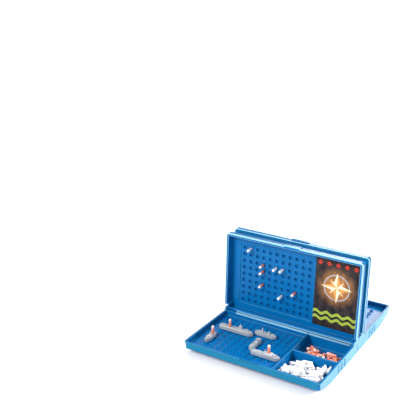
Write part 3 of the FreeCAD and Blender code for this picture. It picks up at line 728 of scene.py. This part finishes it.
RING_OUT, RING_IN, RING_TALL, RING_WALL = 3.05, 1.95, 0.3, 0.25
RING_FOOT, RING_DEEP = -0.2, -2.0
ring = show("ring_pattern", turned("ring", [
    (RING_OUT, RING_FOOT), (RING_OUT, RING_TALL * 0.6), (RING_OUT - 0.3, RING_TALL),
    (RING_IN + 0.2, RING_TALL), (RING_IN, RING_TALL * 0.6), (RING_IN, RING_DEEP),
    (RING_IN + RING_WALL, RING_DEEP), (RING_IN + RING_WALL, RING_FOOT), (RING_OUT, RING_FOOT)]))
fleet_cells = ([(column, 4) for column in range(1, 6)] + [(8, 8), (9, 8), (11, 8)]
               + [(column, 3) for column in range(6, 9)] + [(7, row) for row in range(5, 8)])
rings = []
for column in (BOAT_COLUMN, REAR_BOAT_COLUMN):
    spots = [((*cell(*spot), DECK_TOP), UPRIGHT) for spot in fleet_cells + [(column, 7), (column, 8)]]
    rings.append(repeated("front_deck_rings", ring, spots, ship_detail_highlight))
bpy.data.objects.remove(ring)
seat(rings[0], "case", "grey_ship", twin=rings[1])

# Placed pegs
# A peg is a turned-looking pin with a domed head and a thinner tail. White
# ones mark misses and red ones hits, in the lid and on the ships.

# The last of the three reds is a painted highlight that the red pegs pale into towards the tip.
PEG_RED, PEG_RED_DEEP, PEG_RED_TIP_HIGHLIGHT = (0.84, 0.250, 0.150), (0.78, 0.200, 0.115), (0.93, 0.74, 0.66)
PEG_WHITE, PEG_WHITE_DEEP, PEG_ROUGH = (0.92, 0.92, 0.92), (0.88, 0.89, 0.90), 0.25
MILKY = {"Subsurface Weight": 0.5, "Subsurface Radius": (1.0, 1.0, 1.0), "Subsurface Scale": 2.0 * MM}
red_plastic = moulded("peg_red", PEG_RED, PEG_RED_DEEP, PEG_ROUGH, (PEG_RED_TIP_HIGHLIGHT,))
white_plastic = moulded("peg_white", PEG_WHITE, PEG_WHITE_DEEP, PEG_ROUGH, (), MILKY)
PEG_RADIUS, PEG_HEAD, TAIL_RADIUS, TAIL_LONG = 2.25, 14.0, 1.85, 2.4


def peg_mesh():
    """One upright peg, its shoulder at the origin, marked for a painted highlight towards its tip."""
    mesh = turned("peg", [
        (0, -TAIL_LONG), (TAIL_RADIUS * 0.8, -TAIL_LONG), (TAIL_RADIUS, -TAIL_LONG + 0.5),
        (TAIL_RADIUS, 0), (PEG_RADIUS * 0.94, 0), (PEG_RADIUS, 0.4), (PEG_RADIUS, PEG_HEAD * 0.7),
        (PEG_RADIUS, PEG_HEAD - 1.2), (PEG_RADIUS * 0.9, PEG_HEAD - 0.45),
        (PEG_RADIUS * 0.55, PEG_HEAD - 0.05), (0, PEG_HEAD)])
    pale = mesh.attributes.new("pale", "FLOAT", "POINT")
    for point, mark in zip(mesh.vertices, pale.data):
        mark.value = max(0.0, point.co.z / MM / PEG_HEAD) ** 3
    return mesh


peg = show("peg_pattern", peg_mesh())
miss_spots = [in_lid(*spot) for spot in ((2, 1), (6, 3), (7, 3), (7, 7))]
misses = repeated("front_placed_misses", peg, miss_spots, white_plastic)
seat(misses, "lid_shell", "white_peg", "miss_pegs")
hit_spots = [in_lid(*spot) for spot in ((4, 3), (4, 4), (4, 6), (9, 6))]
hits = repeated("front_placed_hits", peg, hit_spots, red_plastic)
seat(hits, "lid_shell", "red_peg", "hit_pegs")
sunk = []
for boat_column in (BOAT_COLUMN, REAR_BOAT_COLUMN):
    struck = ((boat_column, 7, 0), (2, 4, 0), (10, 8, TURRET_TALL))
    spots = [((*cell(column, row), DECK_TOP + lift), UPRIGHT) for column, row, lift in struck]
    sunk.append(repeated("front_ship_hits", peg, spots, red_plastic))
seat(sunk[0], "case", "red_peg", "ship_pegs", twin=sunk[1])

# Loose pegs in the trays
# The spare pegs lie where they were tipped in: a first layer on the tray
# floor, and further pegs across it wherever two below hold them up.

TRAY_LEFT, TRAY_RIGHT = 40.5, 116.6
TRAY_FLOOR = 2.0
PEG_LONG = PEG_HEAD + TAIL_LONG
PEG_GAP, FLOOR_GAP, LAYER_RISE, HOLD = 0.15, 0.1, 1.92, 1.5
CROSSED = PEG_RADIUS * 0.5
TRIES = 6000


def ends(spot):
    """The two ends of a lying peg's middle line, in the plane of its layer."""
    x, y, yaw = spot
    half = Vector((math.cos(yaw), math.sin(yaw))) * (PEG_LONG / 2 - PEG_RADIUS)
    return Vector((x, y)) - half, Vector((x, y)) + half


def gap(first, second):
    """The least distance between the middle lines of two pegs of one layer."""
    least = math.inf
    for one, other in ((first, second), (second, first)):
        a, b = ends(one)
        for end in ends(other):
            share = max(0.0, min(1.0, (end - a).dot(b - a) / (b - a).length_squared))
            least = min(least, (a + (b - a) * share - end).length)
    p, q = ends(first)
    r, s = ends(second)
    crossing = (q - p).cross(s - r)
    if abs(crossing) > 1e-9:
        t, u = (r - p).cross(s - r) / crossing, (r - p).cross(q - p) / crossing
        if 0 <= t <= 1 and 0 <= u <= 1:
            return 0.0
    return least


def scatter(chance, low, high, count, below=None):
    """Pegs of one layer inside a rectangle, clear of each other and held up from below."""
    layer = []
    for _ in range(TRIES):
        if len(layer) == count:
            break
        yaw = chance.uniform(0, math.pi)
        reach = (abs(math.cos(yaw)) * PEG_LONG / 2 + PEG_RADIUS,
                 abs(math.sin(yaw)) * PEG_LONG / 2 + PEG_RADIUS)
        spot = (chance.uniform(low[0] + reach[0], high[0] - reach[0]),
                chance.uniform(low[1] + reach[1], high[1] - reach[1]), yaw)
        if any(gap(spot, other) < 2 * PEG_RADIUS + PEG_GAP for other in layer):
            continue
        if below is not None:
            along = Vector((math.cos(yaw), math.sin(yaw)))
            held = [(Vector(other[:2]) - Vector(spot[:2])).dot(along) for other in below
                    if gap(spot, other) < CROSSED]
            if len(held) < 2 or min(held) > -HOLD or max(held) < HOLD:
                continue
        layer.append(spot)
    return layer


def heap(chance, low, high, counts, floor):
    """Layers of pegs on a floor; the floor matrix carries them onto a slope."""
    spots = []
    below = None
    for level, count in enumerate(counts):
        layer = scatter(chance, low, high, count, below)
        height = PEG_RADIUS * (1 + LAYER_RISE * level) + FLOOR_GAP
        for x, y, yaw in layer:
            lying = floor @ Matrix.Translation((x, y, height)) @ Matrix.Rotation(yaw, 4, "Z")
            head = chance.choice((1, -1))
            middle = Matrix.Rotation(head * math.pi / 2, 4, "Y") @ Matrix.Translation(
                (0, 0, TAIL_LONG - PEG_LONG / 2))
            pose = lying @ middle
            spots.append((pose.to_translation(), pose.to_euler()))
        below = layer
    return spots


CROSS_FRONT, CROSS_BACK = -85.5, -82.5
KEEL_BREAK, TRAY_FRONT, FRONT_RISE = -112.6, -154.2, 14.5
WALL_GAP, BREAK_FRONT, BREAK_BACK = 1, 0.5, 1.5
RED_LEFT, RED_RIGHT, RED_BACK = TRAY_LEFT + 4, TRAY_RIGHT - 3, -36.0
FLAT_WHITES, RAMP_WHITES, FLAT_REDS = (16, 12, 7), (22, 15, 8), (20, 10, 3)
HEAP_SEED = 7
slope = math.atan2(FRONT_RISE - TRAY_FLOOR, KEEL_BREAK - TRAY_FRONT)
slope_long = math.hypot(FRONT_RISE - TRAY_FLOOR, KEEL_BREAK - TRAY_FRONT)
chance = random.Random(HEAP_SEED)
flat = Matrix.Translation((0, 0, TRAY_FLOOR))
ramp = Matrix.Translation((0, KEEL_BREAK, TRAY_FLOOR)) @ Matrix.Rotation(-slope, 4, "X")
white_spots = heap(chance, (TRAY_LEFT + WALL_GAP, KEEL_BREAK + BREAK_FRONT),
                   (TRAY_RIGHT - WALL_GAP, CROSS_FRONT), FLAT_WHITES, flat)
white_spots += heap(chance, (TRAY_LEFT + WALL_GAP, WALL_GAP - slope_long),
                    (TRAY_RIGHT - WALL_GAP, -BREAK_BACK), RAMP_WHITES, ramp)
white_heap = repeated("front_white_heap", peg, white_spots, white_plastic)
seat(white_heap, "case", "white_peg", "white_tray_pegs")
red_spots = heap(chance, (RED_LEFT, CROSS_BACK + WALL_GAP), (RED_RIGHT, RED_BACK), FLAT_REDS, flat)
red_heap = repeated("front_red_heap", peg, red_spots, red_plastic)
seat(red_heap, "case", "red_peg", "red_tray_pegs")
bpy.data.objects.remove(peg)

# Floor, light and camera
# The cases stand on a plain pale floor in a pale surround, under soft lamps: one
# in front to the left, one behind to the right and a weak one straight behind.

FLOOR_HALF, FLOOR_NEAR, FLOOR_FAR = 40.0, 0.35, 0.9
FLOOR_PALE, FLOOR_ROUGH = (0.92, 0.92, 0.92, 1), 0.9
WHITE = (1, 1, 1, 1)
floor_finish, start = new_finish("floor_pale")
spot = start.node("ShaderNodeTexCoord", None, None, "Object")
reach = start.node("ShaderNodeVectorMath", {"operation": "LENGTH"}, {0: spot}, "Value")
matt = start.node("ShaderNodeBsdfPrincipled", None, {
    "Base Color": FLOOR_PALE, "Roughness": FLOOR_ROUGH})
white = start.node("ShaderNodeEmission", None, {"Color": WHITE, "Strength": 1.0})
merged = start.node("ShaderNodeMixShader", None, {
    0: reach.step(FLOOR_NEAR, FLOOR_FAR), 1: matt, 2: white})
start.node("ShaderNodeOutputMaterial", None, {"Surface": merged})
floor_mesh = bpy.data.meshes.new("floor")
floor_corners = [(x * FLOOR_HALF, y * FLOOR_HALF, 0) for x, y in ((-1, -1), (1, -1), (1, 1), (-1, 1))]
floor_mesh.from_pydata(floor_corners, [], [(0, 1, 2, 3)])
show("floor", floor_mesh, floor_finish)


def lamp(name, place, aim, wide, power):
    """A soft round lamp; places and width are in metres, power in watts."""
    light = bpy.data.lights.new(name, "AREA")
    light.shape = "DISK"
    light.size = wide
    light.energy = power
    item = bpy.data.objects.new(name, light)
    item.location = place
    item.rotation_mode = "QUATERNION"
    item.rotation_quaternion = (Vector(aim) - Vector(place)).to_track_quat("-Z", "Y")
    bpy.context.scene.collection.objects.link(item)


CASE_MIDDLE, FAR_FLOOR = (0, 0, 0.05), (0.08, 0.10, 0.02)
lamp("left_lamp", (-0.60, -1.60, 1.20), CASE_MIDDLE, 0.7, 36)
lamp("right_lamp", (1.25, 0.75, 0.95), CASE_MIDDLE, 0.8, 40)
lamp("back_lamp", (-0.55, 1.95, 1.05), FAR_FLOOR, 0.6, 12)

SURROUND = 0.65
world = bpy.data.worlds.new("surround")
world.use_nodes = True
world.node_tree.nodes.clear()
sky = Wire(world.node_tree)
path = sky.node("ShaderNodeLightPath")
seen = path
for ray in ("Is Glossy Ray", "Is Transmission Ray"):
    seen = sky.maths("MAXIMUM", seen, Wire(sky.tree, path.socket.node.outputs[ray]))
surround = sky.node("ShaderNodeBackground", None, {
    "Color": WHITE, "Strength": SURROUND + (1.0 - SURROUND) * seen})
sky.node("ShaderNodeOutputWorld", None, {"Surface": surround})
bpy.context.scene.world = world

CAMERA_PLACE = Vector((0.4914, -1.1244, 0.6500))
CAMERA_AZIMUTH, CAMERA_DIP = math.radians(31.17), math.radians(18.64)
CAMERA_ROLL = math.radians(1.03)
FOCAL_PIXELS, FRAME_PIXELS = 791.1, 400
camera = bpy.data.cameras.new("camera")
camera.sensor_width = 36.0
camera.lens = FOCAL_PIXELS / FRAME_PIXELS * camera.sensor_width
camera.clip_end = 200.0
viewer = bpy.data.objects.new("camera", camera)
look = Vector((-math.sin(CAMERA_AZIMUTH) * math.cos(CAMERA_DIP),
               math.cos(CAMERA_AZIMUTH) * math.cos(CAMERA_DIP), -math.sin(CAMERA_DIP)))
facing = look.to_track_quat("-Z", "Y").to_matrix().to_4x4()
viewer.matrix_world = (Matrix.Translation(CAMERA_PLACE) @ facing
                       @ Matrix.Rotation(CAMERA_ROLL, 4, "Z"))
bpy.context.scene.collection.objects.link(viewer)
bpy.context.scene.camera = viewer
bpy.context.scene.view_settings.view_transform = "Standard"
